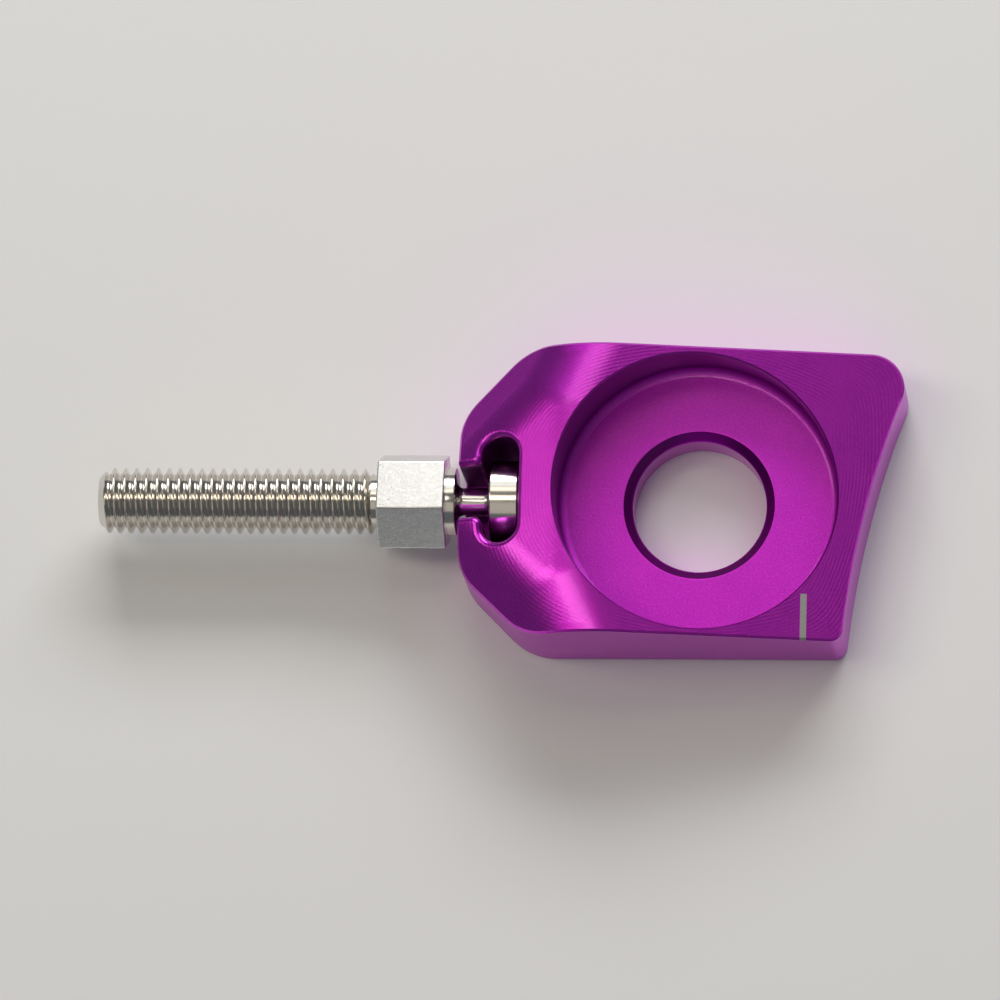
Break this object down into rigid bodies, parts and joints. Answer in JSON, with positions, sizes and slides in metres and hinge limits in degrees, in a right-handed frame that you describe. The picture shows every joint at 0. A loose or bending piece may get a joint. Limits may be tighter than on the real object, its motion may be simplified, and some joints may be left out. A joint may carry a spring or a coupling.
{
  "type": "motorcycle chain adjuster",
  "caption": "Milled axle block for a motorcycle swingarm slot, with a bore and nut recess for the wheel axle and a captive threaded stud that sets the chain tension.",
  "frame": {"origin": "on the wheel axle's axis, in the plane of the block's back face", "axes": "+Z along the axle's axis out of the front face; X along the stud, with the nose and the thread at -X and the slanted tail at +X; +Y to the long side of the tail"},
  "size_m": [0.0733, 0.027, 0.012],
  "materials": {
    "purple_anodised": "satin purple anodise over fine milling marks, with a grey etched index line",
    "stainless": "bright turned and rolled stainless steel, hex left as drawn bar"
  },
  "bodies": {
    "block": {"axle_block": "purple_anodised"},
    "stud": {"adjuster_stud": "stainless"}
  },
  "joints": [
    {"name": "stud_spin", "type": "hinge", "parent": "block", "child": "stud", "pos_m": [-0.04, 0, 0.0052], "axis": [1, 0, 0], "continuous": true}
  ]
}
